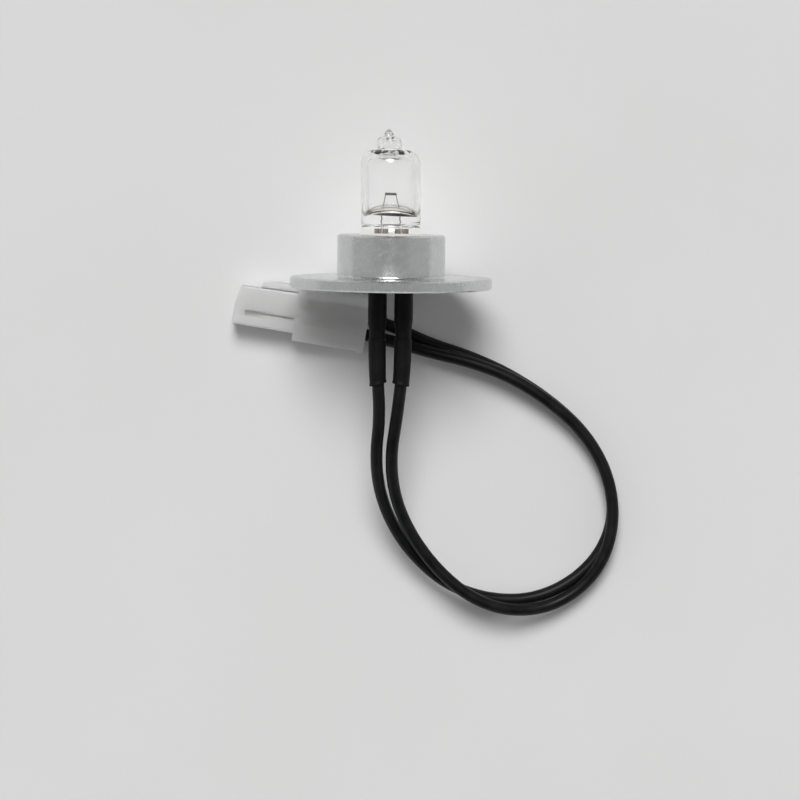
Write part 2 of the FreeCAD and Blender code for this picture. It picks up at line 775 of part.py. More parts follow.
def make_plug_housing():
    """Moulded nylon plug with a wide rear body, a narrow two-way nose and a side latch."""
    body = new_body("plug_housing")
    nose = size("plug_nose_length")
    rear = size("plug_length")
    width = size("plug_body_width")
    thickness = size("plug_thickness")
    middle = size("plug_middle")
    centre = thickness / 2
    nose_low = middle - size("plug_nose_width") / 2
    nose_high = middle + size("plug_nose_width") / 2
    nose_half = size("plug_nose_thickness") / 2
    drop = size("plug_ridge_drop")
    corner = size("plug_corner_radius")

    section = new_sketch(body, "RearSection", "YZ_Plane", nose)
    outline(section, [
        (corner, 0),
        (width - corner, 0, corner),
        (width, corner),
        (width, thickness - corner, corner),
        (width - corner, thickness),
        (size("plug_ridge_offset"), thickness),
        (0, thickness - drop),
        (0, corner, corner),
    ])
    pad(body, "RearBody", section, rear - nose)

    nose_section = new_sketch(body, "NoseSection", "YZ_Plane")
    outline(nose_section, [
        (nose_low + corner, centre - nose_half),
        (nose_high - corner, centre - nose_half, corner),
        (nose_high, centre - nose_half + corner),
        (nose_high, centre + nose_half - corner, corner),
        (nose_high - corner, centre + nose_half),
        (nose_low + corner, centre + nose_half, corner),
        (nose_low, centre + nose_half - corner),
        (nose_low, centre - nose_half + corner, corner),
    ])
    pad(body, "Nose", nose_section, nose + corner)

    side_front = nose_high - size("plug_nose_taper")
    slant = new_sketch(body, "NoseSlant", "XY_Plane")
    slant_start = side_front - size("plug_nose_slant_width")
    outline(slant, [
        (0, slant_start),
        (size("plug_nose_slant_depth"), side_front),
        (nose, nose_high),
        (nose, nose_high + 1),
        (-corner, nose_high + 1),
        (-corner, slant_start),
    ])
    pocket(body, "NoseSlantCut", slant, thickness, True)

    latch_half = size("latch_height") / 2
    latch_root = nose_high + size("latch_gap")
    latch_back = latch_root + size("latch_thickness")
    latch_front = nose - size("latch_length")
    latch = new_sketch(body, "LatchSection", "XY_Plane", centre - latch_half)
    outline(latch, [
        (latch_front, latch_root - size("latch_lean")),
        (nose + corner, latch_root),
        (nose + corner, latch_back),
        (latch_front + size("latch_ramp_length"), latch_back),
        (latch_front, latch_back - size("latch_ramp_drop")),
    ])
    pad(body, "Latch", latch, latch_half * 2)

    nib = new_sketch(body, "NibSection", "XY_Plane", corner)
    nib_reach = size("plug_nib_reach")
    nib_front = rear - size("plug_nib_length")
    outline(nib, [
        (nib_front - nib_reach, corner),
        (nib_front, -nib_reach),
        (rear, -nib_reach),
        (rear, corner),
    ])
    pad(body, "Nib", nib, thickness - drop - corner * 2)

    pitch = size("plug_pitch")
    entries = new_sketch(body, "EntrySection", "YZ_Plane", rear)
    bores = new_sketch(body, "BoreSection", "YZ_Plane")
    mouths = new_sketch(body, "MouthSection", "YZ_Plane")
    half_mouth = size("plug_mouth") / 2
    for side in (-1, 1):
        across = middle + pitch / 2 * side
        circle(entries, across, centre, size("plug_entry"))
        circle(bores, across, centre, size("plug_bore"))
        rectangle(mouths, across - half_mouth, across + half_mouth, centre - half_mouth, centre + half_mouth)
    pocket(body, "Entries", entries, size("plug_entry_depth"))
    pocket(body, "Bores", bores, rear - size("plug_entry_depth") + corner, True)
    pocket(body, "Mouths", mouths, size("plug_mouth_depth"), True)

    groove_start = size("plug_groove_start")
    groove_end = groove_start + size("plug_groove_length")
    groove_middle = size("plug_groove_offset")
    groove_half = size("plug_groove_width") / 2
    slit_middle = size("plug_slit_offset")
    slit_half = size("plug_slit_width") / 2
    groove = new_sketch(body, "GrooveSection", "XY_Plane", centre + nose_half)
    outline(groove, [
        (groove_start, groove_middle - groove_half),
        (groove_end, groove_middle - groove_half),
        (groove_end, slit_middle - slit_half),
        (nose, slit_middle - slit_half),
        (nose, slit_middle + slit_half),
        (groove_end, slit_middle + slit_half),
        (groove_end, groove_middle + groove_half),
        (groove_start, groove_middle + groove_half),
    ])
    pocket(body, "Groove", groove, size("plug_groove_depth"))
    place_in_plug(body)
    return body


def make_terminal(side):
    """Stamped and rolled brass socket with its crimped tail, which sits in one bore of the plug."""
    body = new_body(f"plug_terminal_{side_name(side)}")
    front = size("terminal_front_gap")
    socket = size("terminal_socket_diameter") / 2
    bore = size("terminal_socket_bore") / 2
    neck = size("terminal_neck_diameter") / 2
    crimp = size("terminal_crimp_diameter") / 2
    tail = size("terminal_tail_diameter") / 2
    socket_end = front + size("terminal_socket_length")
    neck_end = socket_end + size("terminal_neck_length")
    rear = front + size("terminal_length")
    tail_start = rear - size("terminal_tail_length")
    step = socket - neck
    section = new_sketch(body, "TerminalSection", "XZ_Plane")
    outline(section, [
        (front, bore),
        (socket_end - step, bore),
        (socket_end - step, 0),
        (rear, 0),
        (rear, tail),
        (tail_start, tail),
        (tail_start - step, crimp),
        (neck_end + step, crimp),
        (neck_end, neck),
        (socket_end, neck),
        (socket_end - step, socket),
        (front, socket),
    ])
    turned(body, "TerminalTurning", "Revolution", section, "H_Axis")
    slit = new_sketch(body, "SlitSection", "XY_Plane")
    half = size("terminal_slit_width") / 2
    rectangle(slit, front - 1, front + size("terminal_slit_length"), -half, half)
    pocket(body, "Slit", slit, socket + 1)
    place_in_plug(body, 0, size("plug_middle") - size("plug_pitch") / 2 * side, size("plug_thickness") / 2)
    return body


def check_document():
    doc.recompute()
    for item in doc.Objects:
        if "Invalid" in item.State or "Error" in item.State:
            raise ValueError(f"{item.Label} failed: {item.State}")


def write_parts(pieces):
    os.makedirs("parts", exist_ok=True)
    for piece in pieces:
        shape = piece.Shape
        if shape.isNull() or not shape.isValid():
            raise ValueError(f"{piece.Label} has no valid shape")
        shape.exportStep(f"parts/{piece.Label}.step")
        print(f"{piece.Label}: {len(shape.Solids)} solid, {shape.Volume:.1f} mm3")


fill_sheet()
holder = make_holder()
glass = make_glass_blank()
filament = make_filament()
pins = [make_pin(side) for side in (-1, 1)]
foils = [make_foil(side, pin, filament) for side, pin in zip((-1, 1), pins)]
envelope = cut("bulb_envelope", glass, pins + foils + [filament])
cement = make_cement(glass, pins)
ferrules = [make_ferrule(side) for side in (-1, 1)]
upper_sleeves = [make_upper_sleeve(side) for side in (-1, 1)]
lower_sleeves = [make_lower_sleeve(side) for side in (-1, 1)]
leads = [make_lead(side) for side in (-1, 1)]
housing = make_plug_housing()
terminals = [make_terminal(side) for side in (-1, 1)]
check_document()
write_parts(
    [holder, envelope, filament, cement, housing]
    + pins + foils + ferrules + upper_sleeves + lower_sleeves + leads + terminals)
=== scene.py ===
import math

import bpy
from mathutils import Matrix, Vector


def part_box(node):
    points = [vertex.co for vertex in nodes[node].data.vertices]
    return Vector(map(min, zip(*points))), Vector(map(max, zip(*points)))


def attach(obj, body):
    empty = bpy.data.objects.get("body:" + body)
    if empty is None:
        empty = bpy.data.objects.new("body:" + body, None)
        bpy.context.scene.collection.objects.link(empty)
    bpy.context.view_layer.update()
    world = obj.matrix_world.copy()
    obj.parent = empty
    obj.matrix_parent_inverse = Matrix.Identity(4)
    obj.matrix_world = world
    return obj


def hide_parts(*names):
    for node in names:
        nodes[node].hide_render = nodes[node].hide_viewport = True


# Halogen capsule lamp in a turned flange holder, with two sleeved leads that end in a two-way plug.
# Everything is in metres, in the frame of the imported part: +Y runs along the lamp, +Z is up.

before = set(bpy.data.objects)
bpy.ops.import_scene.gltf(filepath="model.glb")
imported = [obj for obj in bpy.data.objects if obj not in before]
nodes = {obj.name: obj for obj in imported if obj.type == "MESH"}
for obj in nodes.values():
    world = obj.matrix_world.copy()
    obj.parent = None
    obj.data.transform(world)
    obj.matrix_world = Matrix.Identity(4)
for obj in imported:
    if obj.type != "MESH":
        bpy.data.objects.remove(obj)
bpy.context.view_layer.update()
MM = 0.001

# The lamp's own line and the flange face that heights along the lamp are counted from
holder_low, holder_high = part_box("lamp_holder")
AXIS_HEIGHT = (holder_low.z + holder_high.z) / 2
FLANGE_THICKNESS = 2.2 * MM
FLANGE_FACE = holder_low.y + FLANGE_THICKNESS

# Camera of the photograph, straight above the table and a little towards the bulb
CAMERA_PLACE = Vector((2.12, 22.54, 617.83)) * MM
CAMERA_AIM = Vector((2.12, -28.4, 20.0)) * MM
CAMERA_ROLL = math.radians(0.75)
CAMERA_LENS = 135.8

# Soft studio light: a large lamp high behind the bulb, white walls to the left and right, and a dim room
KEY_HEIGHT = math.radians(57)
KEY_TURN = math.radians(-4)
KEY_CORE = math.radians(4)
KEY_EDGE = math.radians(18)
KEY_LIGHT = 14.1
SIDE_LIGHT = 0.14
ROOM_LIGHT = 0.12
ROOF_LIGHT = 0.26
ROOM_FRONT = 0.02
FRONT_GLOW = 0.9

# Middle lines of the two leads: the part's points, a few of them moved a little to follow the photograph
LEFT_ROUTE = [
    (-0.0026, -0.0134, 0.02), (-0.0026, -0.02175, 0.02), (-0.0018, -0.0315, 0.0192),
    (-0.0027, -0.04048, 0.0164), (-0.00159, -0.04875, 0.0115), (0.00155, -0.05619, 0.008),
    (0.00607, -0.0622, 0.0062), (0.01193, -0.0672, 0.00535), (0.0196, -0.07027, 0.00475),
    (0.0289, -0.0708, 0.00355), (0.03728, -0.06755, 0.0024), (0.04378, -0.06136, 0.00155),
    (0.0466, -0.0532, 0.00125), (0.045, -0.0445, 0.00125), (0.04039, -0.03648, 0.00145),
    (0.03316, -0.02984, 0.00195), (0.02466, -0.02441, 0.00245), (0.01597, -0.0206, 0.00265),
    (0.00779, -0.0182, 0.00245), (-0.00037, -0.0143, 0.003), (-0.00925, -0.01167, 0.00375),
]
RIGHT_ROUTE = [
    (0.0026, -0.0134, 0.02), (0.0026, -0.02175, 0.02), (0.0016, -0.0315, 0.0192),
    (0.0003, -0.04048, 0.0168), (0.0014, -0.04925, 0.0123), (0.00494, -0.05718, 0.0096),
    (0.01024, -0.06409, 0.0087), (0.0168, -0.06958, 0.0083), (0.02437, -0.07246, 0.0071),
    (0.03278, -0.07228, 0.0044), (0.04012, -0.06806, 0.0036), (0.04488, -0.06116, 0.0042),
    (0.0464, -0.0524, 0.0038), (0.0446, -0.0436, 0.0038), (0.03989, -0.03598, 0.004),
    (0.03316, -0.02994, 0.0045), (0.02515, -0.02491, 0.005), (0.01657, -0.0217, 0.00515),
    (0.00779, -0.0198, 0.005), (-0.00082, -0.0174, 0.0038), (-0.00984, -0.01552, 0.0036),
]

# Quartz capsule, in millimetres along and across the lamp
GLASS_SIDES = 96
GLASS_RADIUS = 5.87
GLASS_WALL = 1.4
PINCH_LOW = 1.4
PINCH_TOP = 9.9
PINCH_WIDTH = 5.8
PINCH_DEPTH = 1.5
PINCH_WEB = 0.8
PINCH_STEPS = 8
RIB_PLACE = 0.78
RIB_RISE = 0.08
ROUND_LOW = 10.9
SHOULDER = 2.9
SHOULDER_LOW = 22.3
NECK_RADIUS = 2.37
NECK_LOW = 25.2
NECK_HIGH = 27.7
NECK_FILLET = 0.35
NECK_ROUND = 0.9
TIP_RADIUS = 0.96
TIP_REACH = 29.28
TIP_SHIFT = -0.32
LEAN = math.radians(0.8)
FLOOR_LOW = 12.0
FLOOR_ARCH = 0.65
FLOOR_RISE = 2.9
FLOOR_HALF = 3.9
FLOOR_EDGE = 0.04
EXHAUST_RADIUS = 1.45
EXHAUST_FILLET = 0.5

# Filament, in millimetres
COIL_HEIGHT = 16.48
COIL_REACH = 1.14
COIL_RADIUS = 0.23
COIL_TURNS = 9
WIRE_RADIUS = 0.075
LEG_PATH = [
    (1.06, 16.2), (1.32, 14.9), (1.55, 13.8), (1.6, 13.1), (1.4, 12.5),
    (1.22, 12.0), (1.25, 11.2), (1.6, 10.2), (1.84, 9.7), (1.95, 9.1),
]

# The way from the plug's back to its open end, and how far along it the plug's middle lies
PLUG_WAY = Vector((-0.98849, 0.15126, 0))
plug_low, plug_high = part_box("plug_housing")
PLUG_MIDDLE = PLUG_WAY.dot((plug_low + plug_high) / 2)

LEAD_DIAMETER = 2.45 * MM

# Shrink sleeves, as they look where they were shrunk: the upper ones are thick, the lower ones thin
SLEEVE_SIDES = 44
SLEEVE_STEP = 0.12 * MM
SLEEVE_BORE = 1.27 * MM
SLEEVE_WRINKLE = 0.014 * MM
UPPER_RADIUS = 1.85 * MM
UPPER_SWELL = 1.87 * MM
UPPER_SHRUNK = 1.6 * MM
UPPER_TAIL_RADIUS = 1.56 * MM
UPPER_NARROWING = 3 * MM
UPPER_TAIL = 1.6 * MM
LOWER_OVERLAP = 1.0 * MM
LOWER_CUT = 0.4 * MM
LOWER_EDGE = 1.68 * MM
LOWER_COLLAR = 1.77 * MM
LOWER_RADIUS = 1.73 * MM
LOWER_WAIST = 1.66 * MM
LOWER_FLARE = 1.75 * MM


class Shader:
    """A node tree round its main shader, with short ways to add nodes."""

    def __init__(self, name, **values):
        self.material = bpy.data.materials.new(name)
        self.material.use_nodes = True
        self.tree = self.material.node_tree
        self.main = self.tree.nodes["Principled BSDF"]
        self.set(self.main, values)

    def set(self, node, values):
        for socket, value in values.items():
            if isinstance(value, bpy.types.NodeSocket):
                self.tree.links.new(value, node.inputs[socket])
            else:
                node.inputs[socket].default_value = value

    def add(self, kind, values=None, **settings):
        node = self.tree.nodes.new("ShaderNode" + kind)
        for name, value in settings.items():
            setattr(node, name, value)
        self.set(node, values or {})
        return node

    def math(self, operation, *values):
        node = self.add("Math", operation=operation)
        self.set(node, dict(enumerate(values)))
        return node.outputs[0]

    def dot(self, vector, way):
        return self.add("VectorMath", {0: vector, 1: way}, operation="DOT_PRODUCT").outputs["Value"]

    def smooth(self, value, start, end, low=0.0, high=1.0):
        """Goes smoothly from low to high while the value goes from start to end."""
        values = {"Value": value, "From Min": start, "From Max": end, "To Min": low, "To Max": high}
        return self.add("MapRange", values, interpolation_type="SMOOTHSTEP").outputs["Result"]

    def places(self):
        return self.add("TexCoord").outputs["Object"]

    def stretched(self, x, y, z):
        """Object places drawn out along each axis by one over the figure."""
        return self.add("Mapping", {"Vector": self.places(), "Scale": (x, y, z)}).outputs[0]

    def noise(self, scale, detail=4.0, roughness=0.5, vector=None):
        vector = vector or self.places()
        values = {"Vector": vector, "Scale": scale, "Detail": detail, "Roughness": roughness}
        return self.add("TexNoise", values).outputs["Fac"]

    def ramp(self, factor, low, high, start=0.0, end=1.0):
        """A value or colour that runs from low to high while the factor runs from start to end."""
        node = self.add("ValToRGB", {"Fac": factor})
        stops = node.color_ramp.elements
        stops[0].position = start
        stops[1].position = end
        stops[0].color = low if isinstance(low, tuple) else (low, low, low, 1)
        stops[1].color = high if isinstance(high, tuple) else (high, high, high, 1)
        return node.outputs["Color"]

    def mixed(self, factor, under, over):
        return self.add("MixRGB", {"Fac": factor, "Color1": under, "Color2": over}).outputs[0]

    def bump(self, height, depth, strength=1.0):
        values = {"Height": height, "Distance": depth, "Strength": strength}
        self.set(self.main, {"Normal": self.add("Bump", values).outputs["Normal"]})


def paint(node_name, shader):
    for slot in nodes[node_name].material_slots:
        slot.material = shader.material


def build_mesh(name, vertices, faces, smooth=True):
    mesh = bpy.data.meshes.new(name)
    mesh.from_pydata(vertices, [], faces)
    mesh.polygons.foreach_set("use_smooth", [smooth] * len(mesh.polygons))
    piece = bpy.data.objects.new(name, mesh)
    bpy.context.scene.collection.objects.link(piece)
    return piece


def lamp_place(x, height, z):
    """Place in the frame of a point x beside, and z above, the lamp's own line."""
    return Vector((x, FLANGE_FACE + height, AXIS_HEIGHT + z))


def add_spline(curve, route):
    spline = curve.splines.new("NURBS")
    spline.points.add(len(route) - 1)
    for point, place in zip(spline.points, route):
        point.co = (*place, 1)
    spline.order_u = 3
    spline.use_endpoint_u = True


def make_round(name, route, radius, sides, steps, shader, replaced):
    """A round cord or wire along a route, with more sides and steps where it is seen larger."""
    curve = bpy.data.curves.new(name, "CURVE")
    curve.dimensions = "3D"
    curve.bevel_depth = radius
    curve.bevel_resolution = sides
    curve.resolution_u = steps
    curve.use_fill_caps = True
    add_spline(curve, route)
    curve.materials.append(shader.material)
    piece = bpy.data.objects.new(name, curve)
    bpy.context.scene.collection.objects.link(piece)
    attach(piece, "root")
    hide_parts(replaced)
    return piece


def make_lead(name, route, shader):
    return make_round(name + "_cord", route, LEAD_DIAMETER / 2, 6, 10, shader, name)


def arc_points(centre, radius, start, end, steps):
    """Points (radius from the lamp's line, height) along an arc, with its angles in degrees."""
    angles = [math.radians(start + (end - start) * step / steps) for step in range(steps + 1)]
    return [(centre[0] + radius * math.cos(angle), centre[1] + radius * math.sin(angle)) for angle in angles]


def blend(low, high, share):
    share = min(max(share, 0.0), 1.0)
    share = share * share * (3 - 2 * share)
    return low + (high - low) * share


def leaning(height):
    """How far the capsule, cemented a little out of line, stands to the side at a height."""
    return -math.tan(LEAN) * height


def squashed_ring(height, width, depth, squareness=0.0, arch=0.0, web=1.0, shift=0.0):
    """Ring round the lamp's line: a circle at squareness 0 and nearly a rectangle at 1, thinned to a web
    between the ribs at its edges. Its middle stands higher by arch."""
    power = 1 - 0.75 * squareness
    ring = []
    for step in range(GLASS_SIDES):
        angle = 2 * math.pi * step / GLASS_SIDES
        across = math.copysign(abs(math.cos(angle)) ** power, math.cos(angle))
        up = math.copysign(abs(math.sin(angle)) ** power, math.sin(angle))
        thickness = blend(web, 1.0, (abs(across) - RIB_PLACE) / RIB_RISE)
        x = across * width + leaning(height) + shift
        place = height + arch * (1 - across * across)
        ring.append(lamp_place(x * MM, place * MM, up * depth * thickness * MM))
    return ring


def closed_shell(rings, inward=False):
    """Vertices and faces of a closed form through rings of equal counts, from its low end to its high end."""
    vertices = [place for ring in rings for place in ring]
    faces = []
    for number in range(len(rings) - 1):
        base = number * GLASS_SIDES
        for step in range(GLASS_SIDES):
            after = (step + 1) % GLASS_SIDES
            faces.append((base + step, base + after, base + GLASS_SIDES + after, base + GLASS_SIDES + step))
    last = len(vertices) - GLASS_SIDES
    faces.append(tuple(reversed(range(GLASS_SIDES))))
    faces.append(tuple(range(last, last + GLASS_SIDES)))
    if not inward:
        faces = [tuple(reversed(face)) for face in faces]
    return vertices, faces


def glass_outside():
    """Ribbed pinch, its rounded shoulder, the body, the neck and the drawn-off tip."""
    rings = []
    for step in range(PINCH_STEPS + 1):
        height = PINCH_LOW + (PINCH_TOP - PINCH_LOW) * step / PINCH_STEPS
        web = blend(PINCH_WEB, 1, (step - PINCH_STEPS + 2) / 2)
        rings.append(squashed_ring(height, PINCH_WIDTH, PINCH_DEPTH, 1, web=web))
    # A ring close below the pinch's top keeps the smooth shading of its corner short
    rings.insert(-1, squashed_ring(PINCH_TOP - 0.03, PINCH_WIDTH, PINCH_DEPTH, 1))
    steps = 18
    for step in range(1, steps + 1):
        share = step / steps
        height = PINCH_TOP + (ROUND_LOW - PINCH_TOP) * share
        depth = PINCH_DEPTH + (GLASS_RADIUS - PINCH_DEPTH) * math.sqrt(1 - (1 - share) ** 2)
        width = blend(PINCH_WIDTH, GLASS_RADIUS, share)
        rings.append(squashed_ring(height, width, depth, 1 - blend(0, 1, share * 1.6)))
    profile = [(GLASS_RADIUS, SHOULDER_LOW - 4), (GLASS_RADIUS, SHOULDER_LOW - 1)]
    profile += arc_points((GLASS_RADIUS - SHOULDER, SHOULDER_LOW), SHOULDER, 0, 84, 14)
    rings += [squashed_ring(height, radius, radius) for radius, height in profile]
    profile = arc_points((NECK_RADIUS + NECK_FILLET, NECK_LOW + 0.33), NECK_FILLET, -95, -175, 5)
    profile += arc_points((NECK_RADIUS - NECK_ROUND, NECK_HIGH - NECK_ROUND), NECK_ROUND, 0, 75, 8)
    profile += [(TIP_RADIUS + 0.3, NECK_HIGH + 0.05), (TIP_RADIUS + 0.06, NECK_HIGH + 0.25)]
    rings += [squashed_ring(height, radius, radius, shift=TIP_SHIFT * 0.8) for radius, height in profile]
    profile = [(TIP_RADIUS, NECK_HIGH + 0.55), (TIP_RADIUS - 0.1, NECK_HIGH + 0.75), (0.62, NECK_HIGH + 1.1)]
    profile += [(0.34, TIP_REACH - 0.2), (0.16, TIP_REACH - 0.05), (0.04, TIP_REACH)]
    rings += [squashed_ring(height, radius, radius, shift=TIP_SHIFT) for radius, height in profile]
    return closed_shell(rings)


def glass_inside():
    """The cavity: an arched trough for its floor, the round body, and the neck's bore."""
    inner = GLASS_RADIUS - GLASS_WALL
    rings = []
    steps = 20
    for step in range(steps + 1):
        share = math.sin(step / steps * math.pi / 2)
        height = FLOOR_LOW + FLOOR_RISE * (1 - math.sqrt(1 - share ** 2))
        width = FLOOR_HALF + (inner - FLOOR_HALF) * share ** 2
        depth = FLOOR_EDGE + (inner - FLOOR_EDGE) * share
        rings.append(squashed_ring(height, width, depth, 0.5 * (1 - share), FLOOR_ARCH * (1 - share ** 2)))
    round_radius = SHOULDER - GLASS_WALL
    profile = [(inner, FLOOR_LOW + FLOOR_RISE + 1), (inner, SHOULDER_LOW - 5), (inner, SHOULDER_LOW - 1)]
    profile += arc_points((inner - round_radius, SHOULDER_LOW), round_radius, 0, 80, 10)
    fillet_place = (EXHAUST_RADIUS + EXHAUST_FILLET, SHOULDER_LOW + round_radius + EXHAUST_FILLET)
    profile += arc_points(fillet_place, EXHAUST_FILLET, -100, -175, 5)
    profile += arc_points((EXHAUST_RADIUS - NECK_ROUND, NECK_HIGH - NECK_ROUND - 0.5), NECK_ROUND, 0, 80, 6)
    rings += [squashed_ring(height, radius, radius) for radius, height in profile]
    return closed_shell(rings, inward=True)


def make_glass(shader):
    outside, outer_faces = glass_outside()
    inside, inner_faces = glass_inside()
    shift = len(outside)
    faces = outer_faces + [tuple(corner + shift for corner in face) for face in inner_faces]
    piece = build_mesh("quartz_capsule", outside + inside, faces)
    piece.data.materials.append(shader.material)
    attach(piece, "root")
    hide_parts("bulb_envelope")


def make_filament(shader):
    """One tungsten wire: leg, coil across the lamp, leg."""
    sides = 12
    coil = []
    for step in range(COIL_TURNS * sides + 1):
        angle = 2 * math.pi * step / sides
        x = -COIL_REACH + 2 * COIL_REACH * step / (COIL_TURNS * sides) + leaning(COIL_HEIGHT)
        height = COIL_HEIGHT - COIL_RADIUS * math.cos(angle)
        coil.append(lamp_place(x * MM, height * MM, COIL_RADIUS * math.sin(angle) * MM))
    left, right = [[lamp_place((side * x + leaning(height)) * MM, height * MM, 0) for x, height in LEG_PATH]
                   for side in (-1, 1)]
    route = left[::-1] + coil + right
    make_round("wound_filament", route, WIRE_RADIUS * MM, 3, 3, shader, "filament")


def route_line(route):
    """Places along the smooth line that a lead follows."""
    curve = bpy.data.curves.new("line", "CURVE")
    curve.dimensions = "3D"
    curve.resolution_u = 12
    add_spline(curve, route)
    piece = bpy.data.objects.new("line", curve)
    mesh = bpy.data.meshes.new_from_object(piece)
    places = [vertex.co.copy() for vertex in mesh.vertices]
    bpy.data.objects.remove(piece)
    return places


def place_along(line, distance):
    """Place and direction at a distance along a line of places."""
    for start, end in zip(line, line[1:]):
        step = (end - start).length
        if distance <= step:
            return start + (end - start) * (distance / step), (end - start).normalized()
        distance -= step
    return line[-1], (line[-1] - line[-2]).normalized()


def make_sleeve(name, line, profile, skew, seed, shader):
    """Shrink sleeve round a line. Its profile goes from the start to the tail in pairs of distance and
    radius, and its tail is cut askew."""
    length = profile[-1][0]
    steps = round(length / SLEEVE_STEP)
    outside = []
    for step in range(steps + 1):
        distance = length * step / steps
        for (start, low), (end, high) in zip(profile, profile[1:]):
            if start <= distance <= end:
                radius = blend(low, high, (distance - start) / (end - start))
        outside.append((distance, radius, 1))
    # Round the cut end into the bore, and back through it to the start
    rim = profile[-1][1]
    tail = [(length + 0.06 * MM, rim - 0.04 * MM, 0), (length + 0.08 * MM, rim - 0.14 * MM, 0)]
    tail += [(length + 0.04 * MM, SLEEVE_BORE + 0.1 * MM, 0), (length - 0.8 * MM, SLEEVE_BORE, 0)]
    head = [(0.6 * MM, SLEEVE_BORE, 0), (-0.03 * MM, profile[0][1] - 0.2 * MM, 0)]
    vertices = []
    for distance, radius, wrinkled in outside + tail + head:
        share = min(max(distance / length, 0), 1)
        for step in range(SLEEVE_SIDES):
            angle = 2 * math.pi * step / SLEEVE_SIDES
            askew = distance + skew * share ** 4 * math.cos(angle)
            centre, ahead = place_along(line, max(askew, 0.0))
            right = ahead.cross(Vector((0, 0, 1))).normalized()
            up = right.cross(ahead)
            phase = seed + 2600 * distance
            wrinkle = math.sin(phase + 2 * math.sin(3 * angle)) * math.sin(2 * angle + seed + 900 * distance)
            reach = radius + wrinkled * SLEEVE_WRINKLE * wrinkle
            out = right * math.cos(angle) + up * math.sin(angle)
            vertices.append(centre + ahead * min(askew, 0.0) + out * reach)
    rings = len(vertices) // SLEEVE_SIDES
    faces = []
    for number in range(rings):
        base = number * SLEEVE_SIDES
        after = (number + 1) % rings * SLEEVE_SIDES
        for step in range(SLEEVE_SIDES):
            beside = (step + 1) % SLEEVE_SIDES
            faces.append((base + step, base + beside, after + beside, after + step))
    piece = build_mesh("shrunk_" + name, vertices, faces)
    piece.data.materials.append(shader.material)
    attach(piece, "root")
    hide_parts(name)


def make_sleeves(side, route, skew, shader):
    """The two sleeves of one lead: the thick one out of the holder, and the thin one over its tail."""
    upper_low, upper_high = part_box(f"upper_sleeve_{side}")
    lower_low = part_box(f"lower_sleeve_{side}")[0]
    hole = Vector((route[0][0], upper_high.y, route[0][2]))
    line = [hole] + route_line(route)
    narrowed = upper_high.y - upper_low.y
    profile = [(0, UPPER_RADIUS), (narrowed - UPPER_NARROWING, UPPER_SWELL),
               (narrowed - 0.3 * MM, UPPER_SHRUNK), (narrowed + UPPER_TAIL, UPPER_TAIL_RADIUS)]
    make_sleeve(f"upper_sleeve_{side}", line, profile, 0.0, 1.3 + skew * 900, shader)
    collar = narrowed + LOWER_OVERLAP
    reach = upper_high.y - lower_low.y - collar - LOWER_CUT
    profile = [(0, LOWER_EDGE), (0.12 * MM, LOWER_COLLAR), (reach * 0.5, LOWER_RADIUS),
               (reach - 0.7 * MM, LOWER_WAIST), (reach, LOWER_FLARE)]
    walked = [place_along(line, collar + 0.25 * MM * step)[0] for step in range(80)]
    make_sleeve(f"lower_sleeve_{side}", walked, profile, skew, 4.1 + skew * 900, shader)


def silicone():
    """Black silicone rubber: satin, a little uneven from the extruder, with fine dust on it."""
    shader = Shader("lead_silicone", **{"Specular IOR Level": 0.18})
    uneven = shader.noise(420, 3)
    dust = shader.ramp(shader.noise(5200, 2), 0, 1, 0.7, 0.76)
    rubber = shader.ramp(uneven, (0.004, 0.0042, 0.0045, 1), (0.009, 0.0092, 0.0095, 1), 0.3, 0.7)
    dusty = shader.mixed(dust, rubber, (0.035, 0.035, 0.034, 1))
    shader.set(shader.main, {"Base Color": dusty, "Roughness": shader.smooth(uneven, 0.3, 0.7, 0.36, 0.46)})
    shader.bump(shader.noise(2400, 4, 0.6), 0.00002, 0.5)
    return shader


def shrink_sleeve():
    """Black shrink sleeve: matter than the leads, with faint wrinkles where it was shrunk."""
    shader = Shader("shrink_sleeve", **{"Specular IOR Level": 0.16})
    wrinkles = shader.noise(900, 4, 0.6, vector=shader.stretched(1, 0.45, 1))
    skin = shader.ramp(shader.noise(300, 3), (0.003, 0.003, 0.0033, 1), (0.007, 0.007, 0.0073, 1), 0.3, 0.7)
    shader.set(shader.main, {"Base Color": skin, "Roughness": shader.smooth(wrinkles, 0.3, 0.7, 0.48, 0.62)})
    shader.bump(wrinkles, 0.00005, 0.5)
    return shader


def aluminium():
    """Satin turned aluminium: fine tool lines round the lamp's line, a mottled skin and small scuffs."""
    shader = Shader("turned_aluminium", Metallic=1.0)
    place = shader.add("SeparateXYZ", {0: shader.places()}).outputs
    above = shader.math("SUBTRACT", place["Z"], AXIS_HEIGHT)
    outward = shader.add("CombineXYZ", {"X": place["X"], "Y": above}).outputs[0]
    radius = shader.add("VectorMath", {0: outward}, operation="LENGTH").outputs["Value"]
    tool_path = shader.add("CombineXYZ", {"X": radius, "Y": place["Y"]}).outputs[0]
    tool_lines = shader.noise(7000, 3, vector=tool_path)
    mottle = shader.noise(900, 5, 0.65)
    scuffs = shader.ramp(shader.noise(1500, 3, 0.6, vector=shader.stretched(1, 0.6, 1)), 0, 1, 0.62, 0.8)
    skin = shader.ramp(mottle, (0.61, 0.62, 0.625, 1), (0.68, 0.685, 0.685, 1), 0.35, 0.65)
    worn = shader.mixed(scuffs, skin, (0.78, 0.78, 0.77, 1))
    turned = shader.smooth(mottle, 0.3, 0.7, 0.21, 0.28)
    roughness = shader.math("ADD", turned, shader.math("MULTIPLY", scuffs, 0.1))
    shader.set(shader.main, {"Base Color": worn, "Roughness": roughness})
    relief = shader.math("ADD", shader.math("MULTIPLY", tool_lines, 0.35), mottle)
    shader.bump(relief, 0.00002, 0.35)
    return shader


